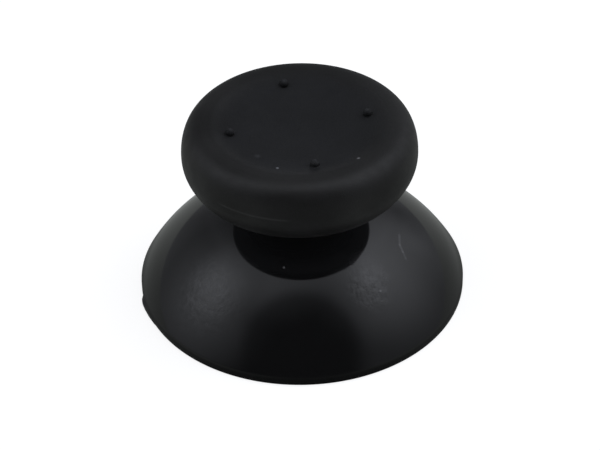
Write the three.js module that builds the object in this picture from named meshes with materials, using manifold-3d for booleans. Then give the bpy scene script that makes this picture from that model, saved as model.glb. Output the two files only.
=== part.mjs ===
// Thumbstick cap for a game controller: a glossy domed skirt on a short neck, with a matte
// rubber thumb pad moulded over its head, and a double-D socket underneath for the stick's post.
// Millimetres, +Z up. The origin is the centre of the skirt's rim plane, where the cap stands.

import * as THREE from "three";
import { mergeVertices } from "three/addons/utils/BufferGeometryUtils.js";
import Module from "manifold-3d";

// Skirt: a spherical dome over a short upright rim, open underneath
const RIM_RADIUS = 12.5;
const RIM_BAND = 0.6; // upright band between the rim plane and the dome
const RIM_EDGE = 0.05; // rounding of the rim's outer edge
const DOME_RADIUS = 14.3;
const SKIRT_WALL = 1.2;

// Neck: the stem between the dome and the pad
const NECK_RADIUS = 3.7;
const NECK_LENGTH = 2.64;
const NECK_ROOT = 0.6; // fillet where the neck meets the dome
const NECK_CROWN = 0.45; // fillet where the neck meets the head

// Head: a stepped disc that the rubber grips
const HEAD_STEP_REACH = 2.2; // how far the lower step stands out from the neck
const HEAD_STEP_HEIGHT = 0.9;
const HEAD_GRIP_REACH = 0.7; // how far the disc overhangs the lower step
const HEAD_GRIP_HEIGHT = 1.5;
const HEAD_EDGE = 0.3; // rounding of the disc's two edges

// Thumb pad: rubber, with a shallow dish inside a rounded crest
const PAD_LIP = 1.2; // rubber round the head's disc at the pad's lower edge
const PAD_FLARE = 1.04; // how far the side swells from the lower edge to the widest ring
const PAD_FLARE_POWER = 2.24; // how late the side turns in towards the lower edge
const PAD_SIDE_HEIGHT = 2.2; // lower edge to the widest ring
const PAD_SHOULDER_HEIGHT = 2.62; // widest ring to the crest
const PAD_SHOULDER_WIDTH = 2.19; // crest to the widest ring, seen from above
const PAD_SHOULDER_POWER = 3.3; // how square the shoulder's upper turn is, where 2 is an oval
const DISH_DEPTH = 0.74;
const CREST_BLEND = 0.9; // width of the soft turn between the dish and the crest

// Pips: raised grip dots in the dish, the first on +X
const PIP_COUNT = 4;
const PIP_RADIUS = 0.36;
const PIP_RISE = 0.1; // how far a pip's centre stands above the dish
const PIP_RING_RADIUS = 5.25;

// Boss and socket: the post of the stick presses in from below
const SOCKET_RADIUS = 2.05;
const SOCKET_FLATS = 3.1; // across the two flats
const SOCKET_DEPTH = 7.0;
const SOCKET_LEAD_IN = 0.3; // chamfer at the socket's mouth
const BOSS_WALL = 1.15;
const BOSS_SETBACK = 1.0; // rim plane to the boss's end
const BOSS_ROOT = 0.6; // fillet where the boss meets the dome's inside
const BOSS_CHAMFER = 0.15;

// Gussets: thin ribs that brace the boss
const GUSSET_COUNT = 4;
const GUSSET_THICKNESS = 0.8;
const GUSSET_REACH = 5.2; // outwards from the boss, along the dome's inside
const GUSSET_DROP = 3.4; // down the boss from the dome's inside
const GUSSET_TURN_DEG = 45;

// Facets
const TURN_SEGMENTS = 64;
const PIP_SEGMENTS = 12;
const MERGE_TOLERANCE = 1e-4;

// Places that follow from the sizes above
const domeCentreZ = RIM_BAND - Math.sqrt(DOME_RADIUS ** 2 - RIM_RADIUS ** 2);
const innerRadius = DOME_RADIUS - SKIRT_WALL;
const neckBaseZ = domeCentreZ + Math.sqrt(DOME_RADIUS ** 2 - NECK_RADIUS ** 2);
const headBaseZ = neckBaseZ + NECK_LENGTH;
const headStepRadius = NECK_RADIUS + HEAD_STEP_REACH;
const headStepZ = headBaseZ + HEAD_STEP_HEIGHT;
const headGripRadius = headStepRadius + HEAD_GRIP_REACH;
const headTopZ = headStepZ + HEAD_GRIP_HEIGHT;
const padEdgeRadius = headGripRadius + PAD_LIP;
const padWidestRadius = padEdgeRadius + PAD_FLARE;
const padWidestZ = headBaseZ + PAD_SIDE_HEIGHT;
const crestRadius = padWidestRadius - PAD_SHOULDER_WIDTH;
const crestZ = padWidestZ + PAD_SHOULDER_HEIGHT;
const bossRadius = SOCKET_RADIUS + BOSS_WALL;

const wasm = await Module();
wasm.setup();

/** A profile point: radius from the axis, then height. */
function at(radius, z) {
  return new THREE.Vector2(radius, z);
}

/** Points along an arc round (radius, z), from one angle to another, in radians. */
function arc(centreRadius, centreZ, size, from, to, steps) {
  const points = [];
  for (let i = 0; i <= steps; i++) {
    const angle = from + ((to - from) * i) / steps;
    points.push(at(centreRadius + size * Math.cos(angle), centreZ + size * Math.sin(angle)));
  }
  return points;
}

/** Revolves about Z a profile that starts and ends on the axis, with material on its left. */
function revolve(profile) {
  const geometry = new THREE.LatheGeometry(profile, TURN_SEGMENTS);
  return geometry.rotateX(Math.PI / 2);
}

/** The manifold-3d solid of a three.js geometry. */
function solidOf(geometry) {
  const bare = geometry.clone();
  bare.deleteAttribute("normal");
  bare.deleteAttribute("uv");
  const merged = mergeVertices(bare, MERGE_TOLERANCE);
  const mesh = new wasm.Mesh({
    numProp: 3,
    vertProperties: new Float32Array(merged.attributes.position.array),
    triVerts: new Uint32Array(merged.index.array),
  });
  return new wasm.Manifold(mesh);
}

/** A named three.js mesh of a manifold-3d solid. */
function meshOf(solid, name, material) {
  const data = solid.getMesh();
  const geometry = new THREE.BufferGeometry();
  geometry.setAttribute("position", new THREE.BufferAttribute(data.vertProperties, 3));
  geometry.setIndex(new THREE.BufferAttribute(data.triVerts, 1));
  geometry.computeVertexNormals();
  const mesh = new THREE.Mesh(geometry, material);
  mesh.name = name;
  return mesh;
}

/** The boss from its end up to the dome's inside, and the dome's inside out to the rim. */
function innerSkirtOutline() {
  const rootX = bossRadius + BOSS_ROOT;
  const rootZ = domeCentreZ + Math.sqrt((innerRadius - BOSS_ROOT) ** 2 - rootX ** 2);
  const tangent = Math.atan2(rootZ - domeCentreZ, rootX);
  const rimAngle = Math.asin(-domeCentreZ / innerRadius);
  return [
    at(0, BOSS_SETBACK),
    at(bossRadius - BOSS_CHAMFER, BOSS_SETBACK),
    at(bossRadius, BOSS_SETBACK + BOSS_CHAMFER),
    ...arc(rootX, rootZ, BOSS_ROOT, Math.PI, tangent, 4),
    ...arc(0, domeCentreZ, innerRadius, tangent, rimAngle, 11).slice(1),
  ];
}

/** The rim, the dome and the neck, on the outside, up to the head's underside. */
function outerSkirtOutline() {
  const rootX = NECK_RADIUS + NECK_ROOT;
  const rootZ = domeCentreZ + Math.sqrt((DOME_RADIUS + NECK_ROOT) ** 2 - rootX ** 2);
  const tangent = Math.atan2(rootZ - domeCentreZ, rootX);
  const rimAngle = Math.atan2(RIM_BAND - domeCentreZ, RIM_RADIUS);
  const crownX = NECK_RADIUS + NECK_CROWN;
  const crownZ = headBaseZ - NECK_CROWN;
  return [
    ...arc(RIM_RADIUS - RIM_EDGE, RIM_EDGE, RIM_EDGE, -Math.PI / 2, 0, 3),
    ...arc(0, domeCentreZ, DOME_RADIUS, rimAngle, tangent, 13),
    ...arc(rootX, rootZ, NECK_ROOT, Math.PI + tangent, Math.PI, 4).slice(1),
    ...arc(crownX, crownZ, NECK_CROWN, Math.PI, Math.PI / 2, 4),
  ];
}

/** The head from its underside up to the axis. The pad's cavity is this same line. */
function headOutline() {
  const inset = headGripRadius - HEAD_EDGE;
  return [
    at(headStepRadius, headBaseZ),
    at(headStepRadius, headStepZ),
    ...arc(inset, headStepZ + HEAD_EDGE, HEAD_EDGE, -Math.PI / 2, 0, 2),
    ...arc(inset, headTopZ - HEAD_EDGE, HEAD_EDGE, 0, Math.PI / 2, 2),
    at(0, headTopZ),
  ];
}

/** One gusset: an upright rib from the boss out along the dome's inside. */
function gusset(index) {
  const buried = bossRadius - BOSS_WALL / 2;
  const middle = DOME_RADIUS - SKIRT_WALL / 2;
  const tipRadius = bossRadius + GUSSET_REACH;
  const tipZ = domeCentreZ + Math.sqrt(innerRadius ** 2 - tipRadius ** 2);
  const rootZ = domeCentreZ + Math.sqrt(innerRadius ** 2 - bossRadius ** 2) - GUSSET_DROP;
  const tipAngle = Math.acos(tipRadius / middle);
  const rootAngle = Math.acos(buried / middle);
  const outline = new THREE.Shape([
    at(buried, rootZ),
    at(bossRadius, rootZ),
    at(tipRadius, tipZ),
    ...arc(0, domeCentreZ, middle, tipAngle, rootAngle, 6),
  ]);
  const settings = { depth: GUSSET_THICKNESS, bevelEnabled: false };
  const blank = new THREE.ExtrudeGeometry(outline, settings);
  blank.translate(0, 0, -GUSSET_THICKNESS / 2);
  blank.rotateX(Math.PI / 2);
  const turn = THREE.MathUtils.degToRad(GUSSET_TURN_DEG);
  blank.rotateZ(turn + (2 * Math.PI * index) / GUSSET_COUNT);
  return solidOf(blank);
}

/** The double-D hole with its chamfered mouth, as a solid to cut away. */
function socketTool() {
  const topZ = BOSS_SETBACK + SOCKET_DEPTH;
  const overcut = SOCKET_LEAD_IN;
  const bore = revolve([
    at(0, BOSS_SETBACK - overcut),
    at(SOCKET_RADIUS + SOCKET_LEAD_IN + overcut, BOSS_SETBACK - overcut),
    at(SOCKET_RADIUS, BOSS_SETBACK + SOCKET_LEAD_IN),
    at(SOCKET_RADIUS, topZ),
    at(0, topZ),
  ]);
  const flats = new THREE.BoxGeometry(SOCKET_FLATS, 2 * bossRadius, SOCKET_DEPTH + overcut);
  flats.translate(0, 0, topZ - (SOCKET_DEPTH + overcut) / 2);
  return solidOf(bore).intersect(solidOf(flats));
}

/** The rigid moulding: skirt, neck, head, boss, gussets and socket. */
function stickBody() {
  const profile = [...innerSkirtOutline(), ...outerSkirtOutline(), ...headOutline()];
  let body = solidOf(revolve(profile));
  for (let i = 0; i < GUSSET_COUNT; i++) {
    body = body.add(gusset(i));
  }
  return body.subtract(socketTool());
}

/** The pad's side from its lower edge up over the shoulder, short of the crest. */
function padSideOutline() {
  const sideSteps = 6;
  const shoulderSteps = 8;
  const points = [];
  for (let i = sideSteps; i >= 0; i--) {
    const share = i / sideSteps;
    const radius = padWidestRadius - PAD_FLARE * share ** PAD_FLARE_POWER;
    points.push(at(radius, padWidestZ - PAD_SIDE_HEIGHT * share));
  }
  for (let i = 1; i < shoulderSteps; i++) {
    const angle = ((Math.PI / 2) * i) / shoulderSteps;
    const reach = Math.cos(angle) ** (2 / PAD_SHOULDER_POWER);
    const height = PAD_SHOULDER_HEIGHT * Math.sin(angle);
    points.push(at(crestRadius + PAD_SHOULDER_WIDTH * reach, padWidestZ + height));
  }
  return points;
}

/** Height of the dish's surface at a radius inside the crest. */
function dishZ(radius) {
  return crestZ - DISH_DEPTH * (1 - (radius / crestRadius) ** 2);
}

/** The level crest easing into the dish, and the dish in to the axis. */
function dishOutline() {
  const dishSteps = 6;
  const easeSteps = 4;
  const easeRadius = crestRadius - CREST_BLEND;
  const slope = (2 * DISH_DEPTH * easeRadius) / crestRadius ** 2;
  const drop = crestZ - dishZ(easeRadius);
  const points = [];
  for (let i = 0; i <= easeSteps; i++) {
    const share = i / easeSteps;
    const fall = drop * share ** 2 * (3 - 2 * share);
    const lift = slope * CREST_BLEND * share ** 2 * (1 - share);
    points.push(at(crestRadius - CREST_BLEND * share, crestZ - fall + lift));
  }
  for (let i = dishSteps - 1; i >= 0; i--) {
    const radius = (easeRadius * i) / dishSteps;
    points.push(at(radius, dishZ(radius)));
  }
  return points;
}

/** One grip dot, part sunk in the dish. */
function pip(index) {
  const angle = (2 * Math.PI * index) / PIP_COUNT;
  const ball = new THREE.SphereGeometry(PIP_RADIUS, PIP_SEGMENTS, PIP_SEGMENTS / 2);
  ball.rotateX(Math.PI / 2);
  ball.translate(
    PIP_RING_RADIUS * Math.cos(angle),
    PIP_RING_RADIUS * Math.sin(angle),
    dishZ(PIP_RING_RADIUS) + PIP_RISE,
  );
  return solidOf(ball);
}

/** The rubber pad: rounded side, dished top with its grip dots, and the cavity on the head. */
function thumbPad() {
  const profile = [...headOutline().reverse(), ...padSideOutline(), ...dishOutline()];
  let pad = solidOf(revolve(profile));
  for (let i = 0; i < PIP_COUNT; i++) {
    pad = pad.add(pip(i));
  }
  return pad;
}

const glossPlastic = new THREE.MeshStandardMaterial({
  name: "glossPlastic",
  color: 0x0c0c0d,
  roughness: 0.12,
  metalness: 0,
});
const matteRubber = new THREE.MeshStandardMaterial({
  name: "matteRubber",
  color: 0x1b1b1c,
  roughness: 0.7,
  metalness: 0,
});

const thumbstickCap = new THREE.Group();
thumbstickCap.name = "thumbstickCap";
thumbstickCap.add(meshOf(stickBody(), "stick_body", glossPlastic));
thumbstickCap.add(meshOf(thumbPad(), "thumb_pad", matteRubber));

export default thumbstickCap;
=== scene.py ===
"""Looks of a thumbstick cap: a glossy domed skirt, a matte rubber thumb pad, and the studio.

Sizes are in millimetres and are turned into metres as each mesh is made. The cap stands on
the XY plane, centred on the Z axis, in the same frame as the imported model.
"""

import logging
import math
from dataclasses import dataclass, field
from enum import Enum
from typing import Sequence

import bmesh
import bpy
from mathutils import Matrix, Vector


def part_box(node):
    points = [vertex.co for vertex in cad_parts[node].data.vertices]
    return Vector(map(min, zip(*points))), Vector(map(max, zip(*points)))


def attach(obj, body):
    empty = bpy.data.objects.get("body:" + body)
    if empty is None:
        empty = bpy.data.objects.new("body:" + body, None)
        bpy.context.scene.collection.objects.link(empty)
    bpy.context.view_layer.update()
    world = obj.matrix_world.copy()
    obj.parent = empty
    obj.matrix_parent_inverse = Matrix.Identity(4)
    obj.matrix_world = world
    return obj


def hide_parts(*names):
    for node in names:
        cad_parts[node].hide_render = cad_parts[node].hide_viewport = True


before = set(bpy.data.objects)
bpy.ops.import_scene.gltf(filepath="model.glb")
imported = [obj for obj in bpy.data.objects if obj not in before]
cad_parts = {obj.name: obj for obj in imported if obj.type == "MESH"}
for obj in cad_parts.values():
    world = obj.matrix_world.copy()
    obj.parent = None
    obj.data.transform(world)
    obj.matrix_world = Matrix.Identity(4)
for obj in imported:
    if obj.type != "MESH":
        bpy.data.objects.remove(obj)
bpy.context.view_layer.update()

LOG = logging.getLogger("thumbstick_cap")
MM = 0.001
ROOT_BODY = "root"
TURN_STEPS = 192
SHARP_DEG = 32.0
WELD = 1e-7
CORE_SHARE = 0.3
NUMBER_RESULTS = ("LENGTH", "DISTANCE", "DOT_PRODUCT")

# A profile's point, a place in millimetres, a colour, the two ends of a soft step, a node's socket
Point = tuple[float, float]
Spot = tuple[float, float, float]
Colour = tuple[float, float, float]
Fade = tuple[float, float]
Socket = bpy.types.NodeSocket


class Slot(Enum):
    """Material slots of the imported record."""

    BODY = "body_plastic"
    PAD = "pad_rubber"


class Merge(Enum):
    """How one closed mesh is merged with another."""

    ADD = "UNION"
    CUT = "DIFFERENCE"


def arc(centre: Point, radius: float, start: float, end: float, steps: int) -> list[Point]:
    """Points along an arc in the profile plane.

    Args:
        centre: Radius from the axis and height of the arc's centre.
        radius: The arc's radius.
        start: First angle in radians.
        end: Last angle in radians.
        steps: Number of chords.

    Returns:
        The points from start to end, both included.
    """
    x, z = centre
    angles = (start + (end - start) * i / steps for i in range(steps + 1))
    return [(x + radius * math.cos(angle), z + radius * math.sin(angle)) for angle in angles]


def heading(azimuth_deg: float, elevation_deg: float) -> Vector:
    """Works out a direction.

    Args:
        azimuth_deg: Turn from the front, towards the right.
        elevation_deg: Rise above the horizon.

    Returns:
        The unit vector.
    """
    turn, rise = math.radians(azimuth_deg), math.radians(elevation_deg)
    level = math.cos(rise)
    return Vector((math.sin(turn) * level, -math.cos(turn) * level, math.sin(rise)))


class Turning:
    """A body of revolution: a chain of edges that is spun about the Z axis."""

    def __init__(self) -> None:
        """Starts an empty profile."""
        self.mesh = bmesh.new()
        self.tip: bmesh.types.BMVert | None = None

    def trace(self, points: Sequence[Point]) -> None:
        """Runs the profile on through points of (radius, height) in millimetres.

        Args:
            points: Where the profile goes next. A point on its tip is passed over.
        """
        for radius, height in points:
            place = Vector((radius, 0.0, height)) * MM
            if self.tip is None:
                self.tip = self.mesh.verts.new(place)
                continue
            if (place - self.tip.co).length < WELD:
                continue
            grown = bmesh.ops.extrude_vert_indiv(self.mesh, verts=[self.tip])
            self.tip = grown["verts"][0]
            self.tip.co = place

    def spin(self, steps: int = TURN_STEPS) -> bmesh.types.BMesh:
        """Spins the profile a full turn and closes it on the axis.

        Args:
            steps: Number of facets round the axis.

        Returns:
            The closed mesh, with its faces pointing outwards.
        """
        bmesh.ops.spin(
            self.mesh,
            geom=self.mesh.verts[:] + self.mesh.edges[:],
            cent=(0.0, 0.0, 0.0),
            axis=(0.0, 0.0, 1.0),
            angle=2.0 * math.pi,
            steps=steps,
            use_merge=True,
        )
        bmesh.ops.remove_doubles(self.mesh, verts=self.mesh.verts[:], dist=WELD)
        bmesh.ops.recalc_face_normals(self.mesh, faces=self.mesh.faces[:])
        return self.mesh


def place_mesh(name: str, mesh: bmesh.types.BMesh) -> bpy.types.Object:
    """Makes a scene object of a bmesh and frees the bmesh.

    Args:
        name: Name of the object and its mesh.
        mesh: The finished bmesh, in metres.

    Returns:
        The new object, at the origin.
    """
    data = bpy.data.meshes.new(name)
    mesh.to_mesh(data)
    mesh.free()
    made = bpy.data.objects.new(name, data)
    bpy.context.scene.collection.objects.link(made)
    return made


def combine(target: bpy.types.Object, tool: bpy.types.Object, merge: Merge) -> None:
    """Adds or cuts one closed mesh to or from another, and removes the tool.

    Args:
        target: The object that is changed.
        tool: The object that is used up.
        merge: Whether the tool is added or cut away.
    """
    step = target.modifiers.new("combine", "BOOLEAN")
    step.operation = merge.value
    step.solver = "EXACT"
    step.object = tool
    graph = bpy.context.evaluated_depsgraph_get()
    result = bpy.data.meshes.new_from_object(target.evaluated_get(graph))
    result.name = target.name
    target.modifiers.clear()
    target.data = result
    bpy.data.objects.remove(tool)


def smooth(target: bpy.types.Object) -> None:
    """Shades an object smooth, with creases where its faces meet at a real edge.

    Args:
        target: The object whose mesh is shaded.
    """
    mesh = bmesh.new()
    mesh.from_mesh(target.data)
    bmesh.ops.remove_doubles(mesh, verts=mesh.verts[:], dist=WELD)
    limit = math.radians(SHARP_DEG)
    for face in mesh.faces:
        face.smooth = True
    for edge in mesh.edges:
        edge.smooth = len(edge.link_faces) == 2 and edge.calc_face_angle(0.0) < limit
    mesh.to_mesh(target.data)
    mesh.free()


@dataclass(frozen=True)
class Speck:
    """A soft round mark: full inside its inner radius, gone outside its outer one."""

    centre: Spot
    inner: float
    outer: float
    strength: float


@dataclass(frozen=True)
class Stroke:
    """A thin straight mark, such as a scratch."""

    start: Spot
    end: Spot
    width: float
    strength: float


@dataclass(frozen=True)
class Cloud:
    """A noise spread between two results: its grain in millimetres, octaves and limits."""

    grain: float
    detail: float
    start: float
    end: float
    low: float = 0.0
    high: float = 1.0
    rough: float = 0.5
    warp: float = 0.0


class Wiring:
    """Adds nodes to a node tree and joins them."""

    def __init__(self, tree: bpy.types.NodeTree) -> None:
        """Takes an emptied tree.

        Args:
            tree: The node tree to fill.
        """
        self.tree = tree
        tree.nodes.clear()

    def add(self, kind: str, **settings: object) -> bpy.types.Node:
        """Adds a node and sets its properties.

        Args:
            kind: The node's type name.
            **settings: Properties of the node.

        Returns:
            The new node.
        """
        node = self.tree.nodes.new(kind)
        for name, value in settings.items():
            setattr(node, name, value)
        return node

    def join(self, source: Socket, target: Socket) -> None:
        """Links an output to an input."""
        self.tree.links.new(source, target)

    def feed(self, socket: Socket, value: object) -> None:
        """Links or sets an input, whichever the value calls for.

        Args:
            socket: The input.
            value: An output to link it to, or a plain value.
        """
        if isinstance(value, Socket):
            self.join(value, socket)
        else:
            socket.default_value = value

    def math(
        self, operation: str, first: object, second: object = 0.0, clamp: bool = False
    ) -> Socket:
        """Adds a Math node.

        Args:
            operation: The operation's name.
            first: First value or output.
            second: Second value or output.
            clamp: Whether the result is kept from 0 to 1.

        Returns:
            The node's output.
        """
        node = self.add("ShaderNodeMath", operation=operation, use_clamp=clamp)
        self.feed(node.inputs[0], first)
        self.feed(node.inputs[1], second)
        return node.outputs[0]

    def vector(self, operation: str, first: object, second: object = None) -> Socket:
        """Adds a Vector Math node.

        Args:
            operation: The operation's name.
            first: First vector or output.
            second: Second one, or the number to scale by. None where there is only one.

        Returns:
            The node's output.
        """
        node = self.add("ShaderNodeVectorMath", operation=operation)
        self.feed(node.inputs[0], first)
        if second is not None:
            self.feed(node.inputs["Scale" if operation == "SCALE" else 1], second)
        return node.outputs["Value" if operation in NUMBER_RESULTS else "Vector"]

    def ramp(
        self, value: object, start: float, end: float, low: float = 0.0, high: float = 1.0
    ) -> Socket:
        """Adds a smooth step between two values.

        Args:
            value: The output that is read.
            start: Where the step begins.
            end: Where it ends.
            low: Result at the beginning.
            high: Result at the end.

        Returns:
            The step's output.
        """
        node = self.add("ShaderNodeMapRange", interpolation_type="SMOOTHSTEP")
        for name, number in zip(
            ("Value", "From Min", "From Max", "To Min", "To Max"),
            (value, start, end, low, high),
        ):
            self.feed(node.inputs[name], number)
        return node.outputs["Result"]

    def noise(
        self, place: Socket, size: float, detail: float, rough: float = 0.5, warp: float = 0.0
    ) -> Socket:
        """Adds a noise whose grains are about size millimetres.

        Args:
            place: Coordinates in millimetres.
            size: Size of the grains.
            detail: Octaves of finer grain.
            rough: Share that each finer octave has.
            warp: How far the pattern is warped.

        Returns:
            The noise, from 0 to 1.
        """
        node = self.add("ShaderNodeTexNoise", noise_dimensions="3D")
        self.join(place, node.inputs["Vector"])
        node.inputs["Scale"].default_value = 1.0 / size
        node.inputs["Detail"].default_value = detail
        node.inputs["Roughness"].default_value = rough
        node.inputs["Distortion"].default_value = warp
        return node.outputs[0]

    def millimetres(self) -> Socket:
        """Adds the object's own coordinates.

        Returns:
            The coordinates, in millimetres.
        """
        place = self.add("ShaderNodeTexCoord")
        scale = self.add("ShaderNodeMapping")
        scale.inputs["Scale"].default_value = (1.0 / MM,) * 3
        self.join(place.outputs["Object"], scale.inputs["Vector"])
        return scale.outputs["Vector"]

    def radius(self, place: Socket) -> Socket:
        """Returns the distance of a place from the Z axis."""
        return self.vector("LENGTH", self.vector("MULTIPLY", place, (1.0, 1.0, 0.0)))

    def quarter(self, place: Socket) -> Socket:
        """Folds a place onto the quarter turn about +X, where one grip dot stands.

        Args:
            place: Coordinates in millimetres.

        Returns:
            The folded coordinates.
        """
        split = self.add("ShaderNodeSeparateXYZ")
        self.join(self.vector("ABSOLUTE", place), split.inputs[0])
        folded = self.add("ShaderNodeCombineXYZ")
        first, second = split.outputs["X"], split.outputs["Y"]
        self.join(self.math("MAXIMUM", first, second), folded.inputs["X"])
        self.join(self.math("MINIMUM", first, second), folded.inputs["Y"])
        self.join(split.outputs["Z"], folded.inputs["Z"])
        return folded.outputs["Vector"]

    def distance(self, place: Socket, spot: Spot) -> Socket:
        """Returns the distance of a place from a fixed spot."""
        return self.vector("DISTANCE", place, spot)

    def cloud(self, place: Socket, cloud: Cloud) -> Socket:
        """Adds a noise that is spread between two results.

        Args:
            place: Coordinates in millimetres.
            cloud: The noise and its limits.

        Returns:
            The spread noise.
        """
        grains = self.noise(place, cloud.grain, cloud.detail, cloud.rough, cloud.warp)
        return self.ramp(grains, cloud.start, cloud.end, cloud.low, cloud.high)

    def speck(self, place: Socket, mark: Speck) -> Socket:
        """Adds a soft round mark.

        Args:
            place: Coordinates in millimetres.
            mark: Where the mark is and how far it reaches.

        Returns:
            The mark's strength, which is 0 outside it.
        """
        away = self.distance(place, mark.centre)
        return self.ramp(away, mark.inner, mark.outer, mark.strength, 0.0)

    def specks(self, place: Socket, marks: Sequence[Speck], start: object = 0.0) -> Socket:
        """Adds up soft round marks.

        Args:
            place: Coordinates in millimetres.
            marks: The marks, one or more.
            start: What they are added to.

        Returns:
            The sum.
        """
        total = start
        for mark in marks:
            total = self.math("ADD", total, self.speck(place, mark))
        return total

    def stroke(self, place: Socket, mark: Stroke) -> Socket:
        """Adds a thin straight mark between two places.

        Args:
            place: Coordinates in millimetres.
            mark: The mark's ends, width and strength.

        Returns:
            The mark's strength, which is 0 beside it.
        """
        way = Vector(mark.end) - Vector(mark.start)
        offset = self.vector("SUBTRACT", place, mark.start)
        along = self.vector("DOT_PRODUCT", offset, way / way.length_squared)
        foot = self.vector("SCALE", way, self.math("MAXIMUM", along, 0.0, True))
        gap = self.vector("DISTANCE", offset, foot)
        return self.ramp(gap, CORE_SHARE * mark.width, mark.width, mark.strength, 0.0)

    def shader(self, kind: str, **inputs: object) -> Socket:
        """Adds a shader or a light and feeds its inputs.

        Args:
            kind: The node's type name.
            **inputs: Its inputs by name, each with a value or an output.

        Returns:
            The shader's output.
        """
        node = self.add(kind)
        for name, value in inputs.items():
            self.feed(node.inputs[name], value)
        return node.outputs[0]

    def mix(self, share: object, first: object, second: object) -> Socket:
        """Adds a mix of two shaders.

        Args:
            share: How much of the second one there is.
            first: The first shader's output.
            second: The second shader's output.

        Returns:
            The mix's output.
        """
        node = self.add("ShaderNodeMixShader")
        for socket, value in zip(node.inputs, (share, first, second)):
            self.feed(socket, value)
        return node.outputs[0]

    def show(self, shader: object, kind: str = "ShaderNodeOutputMaterial") -> None:
        """Ends the tree with its output node."""
        self.join(shader, self.add(kind).inputs["Surface"])

    def principled(self, ior: float) -> bpy.types.Node:
        """Adds a Principled shader and shows it.

        Args:
            ior: Index of refraction of the surface.

        Returns:
            The shader's node.
        """
        node = self.add("ShaderNodeBsdfPrincipled")
        node.inputs["IOR"].default_value = ior
        self.show(node.outputs["BSDF"])
        return node

    def bump(self, height: Socket, reach: float) -> Socket:
        """Adds a relief to the surface.

        Args:
            height: The relief's height, from 0 to 1.
            reach: What a height of 1 stands for, in millimetres.

        Returns:
            The surface's normal with the relief.
        """
        node = self.add("ShaderNodeBump")
        node.inputs["Strength"].default_value = 1.0
        node.inputs["Distance"].default_value = reach * MM
        self.join(height, node.inputs["Height"])
        return node.outputs["Normal"]


@dataclass(frozen=True)
class GlossPlastic:
    """Glossy black plastic: scuffs, a bent scratch, single specks, and painted light under the
    pad.

    Fades are radii counted from the middle of the dome's wall.
    """

    colour: Colour = (0.0050, 0.0050, 0.0052)
    roughness: float = 0.072
    inner_roughness: float = 0.34
    inner_fade: Fade = (-0.2, 0.2)
    ior: float = 1.5
    haze: Cloud = Cloud(grain=2.4, detail=4.0, rough=0.6, start=0.4, end=0.75, high=0.03)
    ripple_grain: float = 1.6
    ripple_height: float = 0.0006
    rubbed: Cloud = Cloud(grain=0.5, detail=4.0, rough=0.6, start=0.34, end=0.7, warp=0.4)
    scuff_roughness: float = 0.05
    scuff_full: float = 3.0
    scuff_grain: float = 0.35
    scuff_relief: float = 11.0
    scuffs: tuple[Speck, ...] = (
        Speck((-8.40, -5.20, 3.95), 0.8, 4.2, 3.2),
        Speck((3.45, -8.10, 4.95), 0.5, 2.5, 6.0),
    )
    # Painted light that lifts the ring of the dome under the pad, which the pad shades and which
    # mirrors the pad's dark underside.
    painted_light_fade: Fade = (0.8, 1.4)
    painted_light_under_pad: tuple[Speck, ...] = (
        Speck((0.0, 0.0, 8.0), 6.9, 7.9, 1.6),
        Speck((0.0, 0.0, 8.0), 4.6, 6.2, 0.6),
    )
    # The first two are broad patches that lighten the dome's right side, partly painted
    # reflection; the last four are small light specks.
    dust: tuple[Speck, ...] = (
        Speck((3.50, -6.95, 5.65), 0.3, 1.8, 3.6),
        Speck((8.24, -2.76, 5.01), 0.8, 2.8, 2.4),
        Speck((-2.65, -6.09, 6.32), 0.03, 0.13, 26.0),
        Speck((4.15, -8.32, 4.52), 0.03, 0.15, 12.0),
        Speck((3.27, -7.24, 5.55), 0.05, 0.35, 2.2),
        Speck((2.24, -8.97, 4.56), 0.05, 0.30, 1.8),
    )
    scratches: tuple[Stroke, ...] = (
        Stroke((6.80, -3.65, 5.69), (6.60, -4.58, 5.49), 0.15, 6.0),
        Stroke((6.60, -4.58, 5.49), (6.71, -5.11, 5.20), 0.15, 7.0),
        Stroke((6.71, -5.11, 5.20), (6.81, -5.61, 4.90), 0.15, 4.5),
    )

    def build(self, dome_centre: float, dome_middle: float) -> bpy.types.Material:
        """Makes the material.

        Args:
            dome_centre: Height of the dome's centre, in millimetres.
            dome_middle: Radius between the dome's two faces, in millimetres.

        Returns:
            The finished material.
        """
        material = bpy.data.materials.new("gloss_plastic")
        material.use_nodes = True
        wire = Wiring(material.node_tree)
        place = wire.millimetres()
        shader = wire.principled(self.ior)
        reach = wire.distance(place, (0.0, 0.0, dome_centre))
        worn = wire.specks(place, self.scuffs)
        scuffed = wire.math("MULTIPLY", worn, wire.cloud(place, self.rubbed))
        # Painted light under the pad, kept on the dome's outer face.
        on_dome = wire.ramp(reach, *(dome_middle + off for off in self.painted_light_fade), 1.0, 0.0)
        painted_light_under_pad = wire.math("MULTIPLY", wire.specks(place, self.painted_light_under_pad), on_dome)
        light = wire.math("ADD", wire.math("ADD", scuffed, 1.0), painted_light_under_pad)
        light = wire.specks(place, self.dust, light)
        for mark in self.scratches:
            light = wire.math("ADD", light, wire.stroke(place, mark))
        wire.join(wire.vector("SCALE", self.colour, light), shader.inputs["Base Color"])
        inside = wire.ramp(reach, *(dome_middle + off for off in self.inner_fade), 1.0, 0.0)
        rough = wire.ramp(scuffed, 0.0, self.scuff_full, 0.0, self.scuff_roughness)
        rough = wire.math("ADD", wire.cloud(place, self.haze), rough)
        rough = wire.math("ADD", rough, self.roughness)
        extra = wire.math("MULTIPLY", inside, self.inner_roughness - self.roughness)
        wire.join(wire.math("ADD", rough, extra), shader.inputs["Roughness"])
        relief = wire.noise(place, self.scuff_grain, detail=3.0, rough=0.6)
        relief = wire.math("MULTIPLY", wire.math("MULTIPLY", relief, self.scuff_relief), worn)
        relief = wire.math("ADD", relief, wire.noise(place, self.ripple_grain, detail=1.0))
        wire.join(wire.bump(relief, self.ripple_height), shader.inputs["Normal"])
        return material


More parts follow.
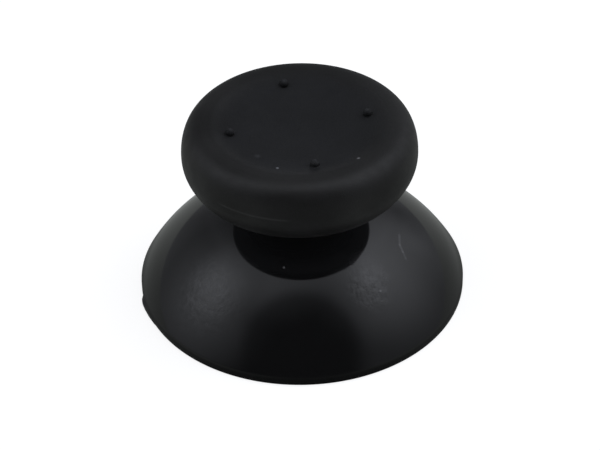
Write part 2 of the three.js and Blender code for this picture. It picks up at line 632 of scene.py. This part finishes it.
@dataclass(frozen=True)
class MatteRubber:
    """Matte black rubber: fine grain, a parting line, dust, uneven tone and shine, and painted
    light and shade.

    Fades are radii counted from the crest. The dots' painted shade and highlight are counted from
    a dot's centre.
    """

    side_colour: Colour = (0.0088, 0.0086, 0.0084)
    # The dish is coloured lighter and bluer than the side as painted top light.
    painted_lit_dish_colour: Colour = (0.0104, 0.0108, 0.0120)
    crest_fade: Fade = (-1.6, 0.6)
    side_fade: Fade = (1.3, 2.1)
    shade: Cloud = Cloud(grain=3.0, detail=3.0, start=0.3, end=0.7, low=0.92, high=1.08)
    softness: Cloud = Cloud(grain=0.9, detail=3.0, start=0.3, end=0.7, low=-0.04, high=0.04)
    dish_roughness: float = 0.75
    crest_roughness: float = 0.58
    side_roughness: float = 0.5
    dish_gloss: float = 0.3
    crest_gloss: float = 0.5
    polish: Speck = Speck((-1.54, -7.23, 14.86), 2.5, 8.5, 0.1)
    ior: float = 1.5
    grain: float = 0.07
    grain_height: float = 0.012
    # Painted shade round each dot's foot and a painted highlight on its top.
    dot_painted_shade: float = 0.1
    dot_painted_shade_reach: Fade = (0.30, 0.47)
    dot_painted_glint_place: Point = (-0.1, 0.46)
    dot_painted_glint_reach: Fade = (0.05, 0.26)
    dot_painted_glint: float = 1.0
    # The parting line is real; its lighter colour is a painted highlight, kept near one spot on
    # the left front.
    seam_width: float = 0.11
    seam_painted_highlight: float = 1.7
    seam_clear: Speck = Speck((-5.18, -7.16, 12.5), 2.2, 3.2, 1.0)
    # Painted light and shade: the first three lighten the lower edge as painted bounce light, the
    # next four darken spots on the side and crest as painted shade, and the last lightens the
    # front crest as a painted highlight.
    painted_light_and_shade: tuple[Speck, ...] = (
        Speck((-1.63, -7.73, 9.9), 0.8, 3.4, 1.1),
        Speck((-5.28, -5.88, 9.8), 0.8, 2.8, 1.2),
        Speck((3.60, -7.03, 9.8), 0.8, 2.8, 1.2),
        Speck((-6.90, -5.50, 11.8), 1.0, 3.8, -0.5),
        Speck((5.20, -7.20, 12.2), 1.0, 3.8, -0.4),
        Speck((-7.24, 1.53, 14.6), 0.8, 3.2, -0.35),
        Speck((5.90, -4.60, 14.6), 0.8, 3.4, -0.3),
        Speck((-2.60, -7.10, 14.5), 1.0, 4.2, 0.4),
    )
    dulled: tuple[Speck, ...] = (
        Speck((-7.24, 1.53, 14.6), 0.8, 3.0, 0.08),
        Speck((-6.70, -5.30, 11.2), 0.8, 3.0, 0.15),
        Speck((4.90, -7.30, 11.9), 0.8, 3.0, 0.14),
        Speck((1.52, 7.24, 14.6), 2.5, 7.0, 0.16),
    )
    dust: tuple[Speck, ...] = (
        Speck((-3.77, -3.04, 14.58), 0.05, 0.32, 1.4),
        Speck((3.18, -5.45, 14.86), 0.05, 0.17, 12.0),
        Speck((-2.71, -5.00, 14.73), 0.05, 0.16, 11.0),
    )

    def build(self, crest: Point, dot: Point, seam_height: float) -> bpy.types.Material:
        """Makes the material.

        Args:
            crest: Radius and height of the pad's crest.
            dot: Radius and height of the grip dots on the X and Y axes.
            seam_height: Height of the mould's parting line.

        Returns:
            The finished material.
        """
        material = bpy.data.materials.new("matte_rubber")
        material.use_nodes = True
        wire = Wiring(material.node_tree)
        place = wire.millimetres()
        shader = wire.principled(self.ior)
        folded = wire.quarter(place)
        away = wire.distance(folded, (dot[0], 0.0, dot[1]))
        # Painted shade at the foot of each dot, times a random tone.
        shade = wire.ramp(away, *self.dot_painted_shade_reach, self.dot_painted_shade, 1.0)
        shade = wire.math("MULTIPLY", wire.cloud(place, self.shade), shade)
        # Painted highlight on the top of each dot.
        lit = (dot[0] + self.dot_painted_glint_place[0], 0.0, dot[1] + self.dot_painted_glint_place[1])
        painted_glint = wire.speck(folded, Speck(lit, *self.dot_painted_glint_reach, self.dot_painted_glint))
        split = wire.add("ShaderNodeSeparateXYZ")
        wire.join(place, split.inputs[0])
        off_seam = wire.math("ABSOLUTE", wire.math("SUBTRACT", split.outputs["Z"], seam_height))
        core = CORE_SHARE * self.seam_width
        # The parting line drawn lighter, as a painted highlight on the real seam.
        seam = wire.ramp(off_seam, core, self.seam_width, self.seam_painted_highlight, 0.0)
        seam = wire.math("MULTIPLY", seam, wire.speck(place, self.seam_clear))
        light = wire.math("ADD", wire.math("ADD", shade, painted_glint), seam)
        # Dust specks, then patches of painted light and shade.
        light = wire.specks(place, self.dust + self.painted_light_and_shade, light)
        radius = wire.radius(place)
        outwards = wire.ramp(radius, *(crest[0] + off for off in self.crest_fade))
        # Painted top light: the dish takes the lighter, bluer colour, the side the plain one.
        base = wire.add("ShaderNodeMix", data_type="RGBA")
        wire.join(outwards, base.inputs[0])
        base.inputs[6].default_value = (*self.painted_lit_dish_colour, 1.0)
        base.inputs[7].default_value = (*self.side_colour, 1.0)
        tint = wire.vector("SCALE", base.outputs[2], light)
        wire.join(tint, shader.inputs["Base Color"])
        rough = wire.math("MULTIPLY", outwards, self.crest_roughness - self.dish_roughness)
        rough = wire.math("ADD", rough, self.dish_roughness)
        change = self.side_roughness - self.crest_roughness
        side = wire.ramp(radius, *(crest[0] + off for off in self.side_fade), 0.0, change)
        rough = wire.math("ADD", rough, side)
        rough = wire.math("SUBTRACT", rough, wire.speck(place, self.polish))
        rough = wire.math("ADD", wire.cloud(place, self.softness), rough)
        wire.join(rough, shader.inputs["Roughness"])
        dulled = wire.specks(place, self.dulled)
        gloss = wire.math("SUBTRACT", self.crest_gloss - self.dish_gloss, dulled)
        gloss = wire.math("ADD", wire.math("MULTIPLY", outwards, gloss), self.dish_gloss)
        wire.join(gloss, shader.inputs["Specular IOR Level"])
        grain = wire.noise(place, self.grain, detail=1.0)
        wire.join(wire.bump(grain, self.grain_height), shader.inputs["Normal"])
        return material


@dataclass
class Head:
    """The stepped disc on the neck that the rubber grips."""

    base: float
    neck_radius: float = 3.7
    step_reach: float = 2.2
    step_height: float = 0.9
    grip_reach: float = 0.7
    grip_height: float = 1.5
    edge: float = 0.3
    edge_steps: int = 6

    @property
    def grip_radius(self) -> float:
        """Radius of the disc."""
        return self.neck_radius + self.step_reach + self.grip_reach

    def outline(self) -> list[Point]:
        """Draws the head from its underside up to the axis.

        Returns:
            Points of (radius, height).
        """
        step = self.neck_radius + self.step_reach
        inset = self.grip_radius - self.edge
        shelf = self.base + self.step_height
        top = shelf + self.grip_height
        quarter = math.pi / 2
        return [
            (step, self.base),
            (step, shelf),
            *arc((inset, shelf + self.edge), self.edge, -quarter, 0.0, self.edge_steps),
            *arc((inset, top - self.edge), self.edge, 0.0, quarter, self.edge_steps),
            (0.0, top),
        ]


@dataclass
class StickBody:
    """The rigid moulding: domed skirt, neck, head, boss, gussets and socket."""

    rim_radius: float
    rim_band: float = 0.6
    rim_edge: float = 0.05
    dome_radius: float = 14.3
    wall: float = 1.2
    neck_radius: float = 3.7
    neck_length: float = 2.64
    neck_root: float = 0.6
    neck_crown: float = 0.45
    socket_radius: float = 2.05
    socket_flats: float = 3.1
    socket_depth: float = 7.0
    lead_in: float = 0.3
    boss_wall: float = 1.15
    boss_setback: float = 1.0
    boss_root: float = 0.6
    boss_chamfer: float = 0.15
    gusset_count: int = 4
    gusset_thickness: float = 0.8
    gusset_reach: float = 5.2
    gusset_drop: float = 3.4
    gusset_turn_deg: float = 45.0
    gate_low: float = 0.06
    gate_full: float = 0.34
    gate_high: float = 0.6
    gate_steps: tuple[tuple[float, float], ...] = (
        (-92.5, -0.05), (-91.0, 0.06), (-89.5, 0.17), (-88.0, 0.19), (-85.0, 0.16),
        (-81.0, 0.11), (-77.0, 0.05), (-72.0, -0.05),
    )
    edge_steps: int = 6
    dome_steps: int = 56
    hollow_steps: int = 36
    root_steps: int = 10
    crown_steps: int = 8
    gusset_steps: int = 24
    socket_steps: int = 96
    finish: GlossPlastic = field(default_factory=GlossPlastic)

    @property
    def centre(self) -> float:
        """Height of the dome's centre."""
        return self.rim_band - math.sqrt(self.dome_radius**2 - self.rim_radius**2)

    @property
    def inner_radius(self) -> float:
        """Radius of the dome's hollow side."""
        return self.dome_radius - self.wall

    @property
    def boss_radius(self) -> float:
        """Outer radius of the boss."""
        return self.socket_radius + self.boss_wall

    @property
    def head_base(self) -> float:
        """Height of the head's underside."""
        top = self.centre + math.sqrt(self.dome_radius**2 - self.neck_radius**2)
        return top + self.neck_length

    def head(self) -> Head:
        """Returns the head that stands on this body's neck."""
        return Head(base=self.head_base, neck_radius=self.neck_radius)

    def inner_outline(self) -> list[Point]:
        """Draws the boss's end, the hollow side and the way out to the rim.

        Returns:
            Points of (radius, height).
        """
        root_x = self.boss_radius + self.boss_root
        reach = self.inner_radius - self.boss_root
        root_z = self.centre + math.sqrt(reach**2 - root_x**2)
        tangent = math.atan2(root_z - self.centre, root_x)
        rim = math.asin(-self.centre / self.inner_radius)
        return [
            (0.0, self.boss_setback),
            (self.boss_radius - self.boss_chamfer, self.boss_setback),
            (self.boss_radius, self.boss_setback + self.boss_chamfer),
            *arc((root_x, root_z), self.boss_root, math.pi, tangent, self.root_steps),
            *arc((0.0, self.centre), self.inner_radius, tangent, rim, self.hollow_steps),
        ]

    def outer_outline(self) -> list[Point]:
        """Draws the rim, dome and neck, up to the head's underside.

        Returns:
            Points of (radius, height).
        """
        root_x = self.neck_radius + self.neck_root
        reach = self.dome_radius + self.neck_root
        root_z = self.centre + math.sqrt(reach**2 - root_x**2)
        tangent = math.atan2(root_z - self.centre, root_x)
        rim = math.atan2(self.rim_band - self.centre, self.rim_radius)
        foot = (self.rim_radius - self.rim_edge, self.rim_edge)
        crown = (self.neck_radius + self.neck_crown, self.head_base - self.neck_crown)
        half = math.pi
        return [
            *arc(foot, self.rim_edge, -half / 2, 0.0, self.edge_steps),
            *arc((0.0, self.centre), self.dome_radius, rim, tangent, self.dome_steps),
            *arc((root_x, root_z), self.neck_root, half + tangent, half, self.root_steps),
            *arc(crown, self.neck_crown, half, half / 2, self.crown_steps),
        ]

    def gusset(self, index: int) -> bpy.types.Object:
        """Makes one gusset, from the boss out along the dome's inside.

        Args:
            index: Which gusset, counted from the first.

        Returns:
            The gusset as a closed mesh.
        """
        tip = self.boss_radius + self.gusset_reach
        tip_z = self.centre + math.sqrt(self.inner_radius**2 - tip**2)
        root_z = self.centre + math.sqrt(self.inner_radius**2 - self.boss_radius**2)
        buried = self.boss_radius - self.boss_wall / 2
        middle = self.dome_radius - self.wall / 2
        far, near = math.acos(tip / middle), math.acos(buried / middle)
        edge = arc((0.0, self.centre), middle, far, near, self.gusset_steps)
        low = root_z - self.gusset_drop
        outline = [(buried, low), (self.boss_radius, low), (tip, tip_z), *edge]
        mesh = bmesh.new()
        half = self.gusset_thickness / 2
        corners = [mesh.verts.new(Vector((x, -half, z)) * MM) for x, z in outline]
        face = mesh.faces.new(corners)
        grown = bmesh.ops.extrude_face_region(mesh, geom=[face])
        moved = [g for g in grown["geom"] if isinstance(g, bmesh.types.BMVert)]
        bmesh.ops.translate(mesh, verts=moved, vec=(0.0, 2 * half * MM, 0.0))
        bmesh.ops.recalc_face_normals(mesh, faces=mesh.faces[:])
        turn = math.radians(self.gusset_turn_deg + 360.0 * index / self.gusset_count)
        bmesh.ops.rotate(mesh, verts=mesh.verts[:], matrix=Matrix.Rotation(turn, 3, "Z"))
        return place_mesh(f"gusset_{index}", mesh)

    def gate(self) -> bpy.types.Object:
        """Makes the trimmed remnant of the mould's gate, which stands a little off the rim.

        Returns:
            The remnant as a closed mesh, part sunk in the rim.
        """
        outer = [(self.rim_radius + proud, turn) for turn, proud in self.gate_steps]
        inner = [(self.rim_radius - self.wall / 2, turn) for turn, _ in reversed(self.gate_steps)]
        mesh = bmesh.new()
        corners = []
        for radius, turn in outer + inner:
            x = radius * math.sin(math.radians(turn))
            y = -radius * math.cos(math.radians(turn))
            corners.append(mesh.verts.new(Vector((x, y, self.gate_low)) * MM))
        face = mesh.faces.new(corners)
        region = [face]
        hidden = self.rim_radius - self.rim_edge
        for height, most in ((self.gate_full, math.inf), (self.gate_high, hidden)):
            grown = bmesh.ops.extrude_face_region(mesh, geom=region)["geom"]
            region = [g for g in grown if isinstance(g, bmesh.types.BMFace)]
            for vert in (g for g in grown if isinstance(g, bmesh.types.BMVert)):
                share = min(1.0, most * MM / vert.co.xy.length)
                vert.co = (vert.co.x * share, vert.co.y * share, height * MM)
        bmesh.ops.recalc_face_normals(mesh, faces=mesh.faces[:])
        return place_mesh("gate", mesh)

    def socket_tool(self) -> bpy.types.Object:
        """Makes the double-D hole with its chamfered mouth.

        Returns:
            The hole as a closed mesh, to cut away.
        """
        top = self.boss_setback + self.socket_depth
        low = self.boss_setback - self.lead_in
        bore = Turning()
        bore.trace([(0.0, low), (self.socket_radius + 2 * self.lead_in, low)])
        bore.trace([(self.socket_radius, self.boss_setback + self.lead_in)])
        bore.trace([(self.socket_radius, top), (0.0, top)])
        mesh = bore.spin(self.socket_steps)
        for side in (1.0, -1.0):
            plane = Vector((side * self.socket_flats / 2 * MM, 0.0, 0.0))
            cut = bmesh.ops.bisect_plane(
                mesh,
                geom=mesh.verts[:] + mesh.edges[:] + mesh.faces[:],
                dist=WELD,
                plane_co=plane,
                plane_no=(side, 0.0, 0.0),
                clear_outer=True,
            )
            rim = [g for g in cut["geom_cut"] if isinstance(g, bmesh.types.BMEdge)]
            bmesh.ops.contextual_create(mesh, geom=rim)
        bmesh.ops.recalc_face_normals(mesh, faces=mesh.faces[:])
        return place_mesh("socket_tool", mesh)

    def build(self) -> bpy.types.Object:
        """Makes the whole moulding and dresses it.

        Returns:
            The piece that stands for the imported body.
        """
        turning = Turning()
        turning.trace(self.inner_outline())
        turning.trace(self.outer_outline())
        turning.trace(self.head().outline())
        body = place_mesh("skirt_and_neck", turning.spin())
        for index in range(self.gusset_count):
            combine(body, self.gusset(index), Merge.ADD)
        combine(body, self.gate(), Merge.ADD)
        combine(body, self.socket_tool(), Merge.CUT)
        smooth(body)
        middle = self.dome_radius - self.wall / 2
        body.data.materials.clear()
        body.data.materials.append(self.finish.build(self.centre, middle))
        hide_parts("stick_body")
        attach(body, ROOT_BODY)
        return body


@dataclass
class ThumbPad:
    """The rubber pad: dished top with grip dots, rounded shoulder and swelling side."""

    head: Head
    lip: float = 1.2
    flare: float = 1.04
    flare_power: float = 2.24
    side_height: float = 2.2
    shoulder_height: float = 2.62
    shoulder_width: float = 2.19
    shoulder_power: float = 3.3
    dish_depth: float = 0.74
    crest_blend: float = 0.9
    foot_edge: float = 0.12
    foot_end: float = -0.2
    seam_height: float = 2.39
    dot_count: int = 4
    dot_radius: float = 0.36
    dot_ring: float = 5.25
    dot_rise: float = 0.1
    dot_foot: float = 0.08
    foot_steps: int = 5
    side_steps: int = 28
    shoulder_steps: int = 36
    crest_steps: int = 10
    dish_steps: int = 30
    dot_foot_steps: int = 6
    dot_dome_steps: int = 12
    dot_turn_steps: int = 40
    finish: MatteRubber = field(default_factory=MatteRubber)

    @property
    def edge_radius(self) -> float:
        """Radius of the pad's lower edge."""
        return self.head.grip_radius + self.lip

    @property
    def crest(self) -> Point:
        """Radius and height of the crest."""
        radius = self.edge_radius + self.flare - self.shoulder_width
        return radius, self.head.base + self.side_height + self.shoulder_height

    def dish_height(self, radius: float) -> float:
        """Returns the height of the dish's surface at a radius."""
        return self.crest[1] - self.dish_depth * (1 - (radius / self.crest[0]) ** 2)

    def side_radius(self, height: float) -> float:
        """Returns the side's radius at a height above the lower edge."""
        share = 1.0 - height / self.side_height
        return self.edge_radius + self.flare * (1.0 - share**self.flare_power)

    def side_outline(self) -> list[Point]:
        """Draws the side from the rounded lower edge up to the widest ring.

        Returns:
            Points of (radius, height).
        """
        foot = (self.edge_radius - self.foot_edge, self.head.base + self.foot_edge)
        points = arc(foot, self.foot_edge, -math.pi / 2, self.foot_end, self.foot_steps)
        for i in range(self.side_steps + 1):
            rise = (self.side_height - self.foot_edge) * i / self.side_steps
            height = self.foot_edge + rise
            points.append((self.side_radius(height), self.head.base + height))
        return points

    def shoulder_outline(self) -> list[Point]:
        """Draws the squarish quarter oval from the widest ring up to the crest.

        Returns:
            Points of (radius, height).
        """
        radius, top = self.crest
        points = []
        for across, up in arc((0.0, 0.0), 1.0, 0.0, math.pi / 2, self.shoulder_steps)[1:]:
            height = top - self.shoulder_height * (1.0 - up)
            reach = max(across, 0.0) ** (2.0 / self.shoulder_power)
            points.append((radius + self.shoulder_width * reach, height))
        return points

    def dish_outline(self) -> list[Point]:
        """Draws the crest's ease into the dish, and the dish in to the axis.

        Returns:
            Points of (radius, height).
        """
        radius, top = self.crest
        inner = radius - self.crest_blend
        slope = 2 * self.dish_depth * inner / radius**2
        low = self.dish_height(inner)
        points = []
        for i in range(1, self.crest_steps + 1):
            t = i / self.crest_steps
            ease = t * t * (3.0 - 2.0 * t)
            lift = slope * self.crest_blend * t * t * (1.0 - t)
            points.append((radius - self.crest_blend * t, top + (low - top) * ease + lift))
        for i in range(self.dish_steps - 1, -1, -1):
            across = inner * i / self.dish_steps
            points.append((across, self.dish_height(across)))
        return points

    def dot(self, index: int) -> bpy.types.Object:
        """Makes one grip dot: a small dome with a soft foot, part sunk in the dish.

        Args:
            index: Which dot, counted from +X.

        Returns:
            The dot as a closed mesh.
        """
        size, foot, sunk = self.dot_radius, self.dot_foot, -self.dot_radius / 2
        wide = math.sqrt((size + foot) ** 2 - foot**2)
        start, quarter = math.atan2(foot, wide), math.pi / 2
        outline = [(0.0, sunk), (wide, sunk), (wide, 0.0)]
        outline += arc((wide, foot), foot, -quarter, start - math.pi, self.dot_foot_steps)
        dome = arc((0.0, 0.0), size, start, quarter, self.dot_dome_steps)
        outline += [(x, z + self.dot_rise) for x, z in dome]
        dot = Turning()
        dot.trace(outline)
        mesh = dot.spin(self.dot_turn_steps)
        slope = math.atan(2 * self.dish_depth * self.dot_ring / self.crest[0] ** 2)
        bmesh.ops.rotate(mesh, verts=mesh.verts[:], matrix=Matrix.Rotation(-slope, 3, "Y"))
        place = Vector((self.dot_ring, 0.0, self.dish_height(self.dot_ring))) * MM
        bmesh.ops.translate(mesh, verts=mesh.verts[:], vec=place)
        turn = Matrix.Rotation(2 * math.pi * index / self.dot_count, 3, "Z")
        bmesh.ops.rotate(mesh, verts=mesh.verts[:], matrix=turn)
        return place_mesh(f"dot_{index}", mesh)

    def build(self) -> bpy.types.Object:
        """Makes the pad and dresses it.

        Returns:
            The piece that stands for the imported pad.
        """
        turning = Turning()
        turning.trace(list(reversed(self.head.outline())))
        turning.trace(self.side_outline())
        turning.trace(self.shoulder_outline())
        turning.trace(self.dish_outline())
        pad = place_mesh("rubber_pad", turning.spin())
        for index in range(self.dot_count):
            combine(pad, self.dot(index), Merge.ADD)
        smooth(pad)
        pad.data.materials.clear()
        dot = (self.dot_ring, self.dish_height(self.dot_ring))
        seam = self.head.base + self.seam_height
        pad.data.materials.append(self.finish.build(self.crest, dot, seam))
        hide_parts("thumb_pad")
        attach(pad, ROOT_BODY)
        return pad


@dataclass(frozen=True)
class Viewpoint:
    """The camera: where it stands round the cap and how it is aimed."""

    azimuth_deg: float = -11.9
    elevation_deg: float = 39.765
    distance: float = 170.0
    target_height: float = 0.1
    lens: float = 130.69
    sensor: float = 36.0
    pan_deg: float = 0.031
    tilt_deg: float = 1.329
    roll_deg: float = -1.194
    clip: tuple[float, float] = (1.0, 20000.0)

    def direction(self) -> Vector:
        """Returns the unit vector from the rim's centre to the camera."""
        return heading(self.azimuth_deg, self.elevation_deg)

    def build(self) -> bpy.types.Object:
        """Makes the camera and gives it to the scene.

        Returns:
            The camera.
        """
        data = bpy.data.cameras.new("camera")
        data.lens = self.lens
        data.sensor_width = self.sensor
        data.clip_start, data.clip_end = (reach * MM for reach in self.clip)
        camera = bpy.data.objects.new("camera", data)
        bpy.context.scene.collection.objects.link(camera)
        back = self.direction()
        aim = (-back).to_track_quat("-Z", "Y").to_matrix()
        pan = Matrix.Rotation(math.radians(self.pan_deg), 3, "Y")
        tilt = Matrix.Rotation(math.radians(self.tilt_deg), 3, "X")
        roll = Matrix.Rotation(math.radians(self.roll_deg), 3, "Z")
        stand = back * self.distance + Vector((0.0, 0.0, self.target_height))
        place = Matrix.Translation(stand * MM)
        camera.matrix_world = place @ (aim @ pan @ tilt @ roll).to_4x4()
        bpy.context.scene.camera = camera
        return camera


@dataclass(frozen=True)
class SoftPatch:
    """One soft patch of light on the tent round the cap."""

    azimuth_deg: float
    elevation_deg: float
    inner_deg: float
    outer_deg: float
    strength: float


@dataclass(frozen=True)
class LightTent:
    """A tent of soft light. Azimuths are counted from the camera, to its right."""

    camera_azimuth_deg: float
    fill: float = 0.034
    white_in_gloss: float = 0.02
    matte_boost: float = 1.0
    colour: Colour = (0.955, 0.985, 1.06)
    patches: tuple[SoftPatch, ...] = (
        SoftPatch(-91.8, 40.8, 0.0, 27.9, 0.66),
        SoftPatch(-83.6, 33.2, 5.2, 50.3, 0.54),
        SoftPatch(101.2, 50.7, 0.0, 56.0, 1.11),
        SoftPatch(86.9, 6.6, 37.0, 60.0, 0.18),
        SoftPatch(-50.9, 74.0, 0.0, 34.7, 0.58),
        SoftPatch(-121.2, 2.6, 9.0, 63.4, 0.18),
        SoftPatch(143.1, 15.0, 10.7, 35.8, 0.16),
        SoftPatch(180.0, 2.0, 8.0, 36.0, 0.26),
    )
    shade: SoftPatch = SoftPatch(-2.4, 33.0, 30.5, 42.0, 0.55)

    def patch(self, wire: Wiring, ray: Socket, patch: SoftPatch) -> Socket:
        """Adds the light of one patch.

        Args:
            wire: The world's wiring.
            ray: Direction that is looked up.
            patch: The patch.

        Returns:
            The patch's light in that direction.
        """
        centre = heading(self.camera_azimuth_deg + patch.azimuth_deg, patch.elevation_deg)
        dot = wire.vector("DOT_PRODUCT", ray, centre)
        angle = wire.math("ARCCOSINE", wire.math("MINIMUM", dot, 1.0))
        inner, outer = math.radians(patch.inner_deg), math.radians(patch.outer_deg)
        return wire.ramp(angle, inner, outer, patch.strength, 0.0)

    def build(self) -> bpy.types.World:
        """Makes the world and gives it to the scene.

        Returns:
            The world.
        """
        world = bpy.data.worlds.new("light_tent")
        world.use_nodes = True
        wire = Wiring(world.node_tree)
        ray = wire.vector("NORMALIZE", wire.add("ShaderNodeTexCoord").outputs["Generated"])
        light: object = 0.0
        for patch in self.patches:
            light = wire.math("ADD", self.patch(wire, ray, patch), light)
        dark = self.patch(wire, ray, self.shade)
        light = wire.math("MULTIPLY", light, wire.math("SUBTRACT", 1.0, dark))
        light = wire.math("ADD", light, self.fill)
        path = wire.add("ShaderNodeLightPath").outputs
        matte = wire.math("MULTIPLY", path["Is Diffuse Ray"], self.matte_boost)
        level = wire.math("MULTIPLY", light, wire.math("ADD", matte, 1.0))
        tent = wire.shader("ShaderNodeBackground", Color=(*self.colour, 1.0), Strength=level)
        white = wire.shader("ShaderNodeBackground", Color=(1.0,) * 4)
        gloss = wire.math("MULTIPLY", path["Is Glossy Ray"], self.white_in_gloss)
        clear = wire.math("ADD", path["Is Transmission Ray"], gloss)
        share = wire.math("ADD", path["Is Camera Ray"], clear, clamp=True)
        wire.show(wire.mix(share, tent, white), "ShaderNodeOutputWorld")
        bpy.context.scene.world = world
        return world


@dataclass(frozen=True)
class Floor:
    """A plain pale floor that keeps a faint shadow of the cap.

    Its sheen is what the cap mirrors. Reaches are radii from the axis, in millimetres, and
    turns are cosines of the angle to the line away from the camera.
    """

    away: Spot
    radius: float = 3000.0
    drop: float = 0.01
    grey: float = 0.85
    lit_share: float = 0.4
    glow: float = 0.8
    white_in_gloss: float = 0.27
    front_in_gloss: float = 0.09
    contact_in_gloss: float = 0.045
    contact_reach: Fade = (14.0, 19.0)
    side_turn: Fade = (-0.85, -0.5)
    rim_reach: Fade = (12.8, 15.0)
    rim_share: float = 0.34
    rear_turn: Fade = (0.3, 0.8)
    rear_in_gloss: float = 0.12
    colour: Colour = (0.965, 1.01, 0.99)
    segments: int = 96

    def build(self) -> bpy.types.Object:
        """Makes the floor.

        Returns:
            The floor.
        """
        mesh = bmesh.new()
        bmesh.ops.create_circle(
            mesh, cap_ends=True, segments=self.segments, radius=self.radius * MM
        )
        bmesh.ops.translate(mesh, verts=mesh.verts[:], vec=(0.0, 0.0, -self.drop * MM))
        floor = place_mesh("floor", mesh)
        material = bpy.data.materials.new("pale_floor")
        material.use_nodes = True
        wire = Wiring(material.node_tree)
        place = wire.millimetres()
        turn = wire.vector("DOT_PRODUCT", wire.vector("NORMALIZE", place), self.away)
        reach = wire.distance(place, (0.0, 0.0, 0.0))
        shares = (self.contact_in_gloss, self.front_in_gloss)
        front = wire.ramp(reach, *self.contact_reach, *shares)
        side = wire.ramp(turn, *self.side_turn)
        side = wire.math("MULTIPLY", side, wire.ramp(reach, *self.rim_reach, self.rim_share, 1.0))
        back = wire.ramp(turn, *self.rear_turn, 0.0, self.rear_in_gloss)
        rest = wire.math("ADD", back, self.white_in_gloss)
        rest = wire.math("SUBTRACT", rest, front)
        near = wire.math("ADD", front, wire.math("MULTIPLY", rest, side))
        path = wire.add("ShaderNodeLightPath").outputs
        plain = wire.shader("ShaderNodeBsdfDiffuse", Color=(*(self.grey,) * 3, 1.0))
        sheen = wire.shader("ShaderNodeEmission", Color=(*self.colour, 1.0), Strength=near)
        seen = wire.mix(path["Is Glossy Ray"], plain, sheen)
        white = wire.add("ShaderNodeAddShader")
        lit = wire.shader("ShaderNodeBsdfDiffuse", Color=(*(self.lit_share,) * 3, 1.0))
        wire.join(lit, white.inputs[0])
        wire.join(wire.shader("ShaderNodeEmission", Strength=self.glow), white.inputs[1])
        clear = path["Is Transmission Ray"]
        share = wire.math("ADD", path["Is Camera Ray"], clear, clamp=True)
        wire.show(wire.mix(share, seen, white.outputs[0]))
        floor.data.materials.append(material)
        return floor


def report(piece: bpy.types.Object) -> None:
    """Logs a piece's name and face count."""
    LOG.info("%s: %d faces", piece.name, len(piece.data.polygons))


def main() -> None:
    """Builds the studio and the cap in order."""
    logging.basicConfig(level=logging.INFO, format="%(message)s")
    bpy.context.scene.view_settings.view_transform = "Standard"
    view = Viewpoint()
    view.build()
    LightTent(camera_azimuth_deg=view.azimuth_deg).build()
    front = view.direction()
    report(Floor(away=(-front.x, -front.y, 0.0)).build())
    low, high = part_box("stick_body")
    body = StickBody(rim_radius=(high.x - low.x) / 2 / MM)
    report(body.build())
    report(ThumbPad(head=body.head()).build())


if __name__ == "__main__":
    main()
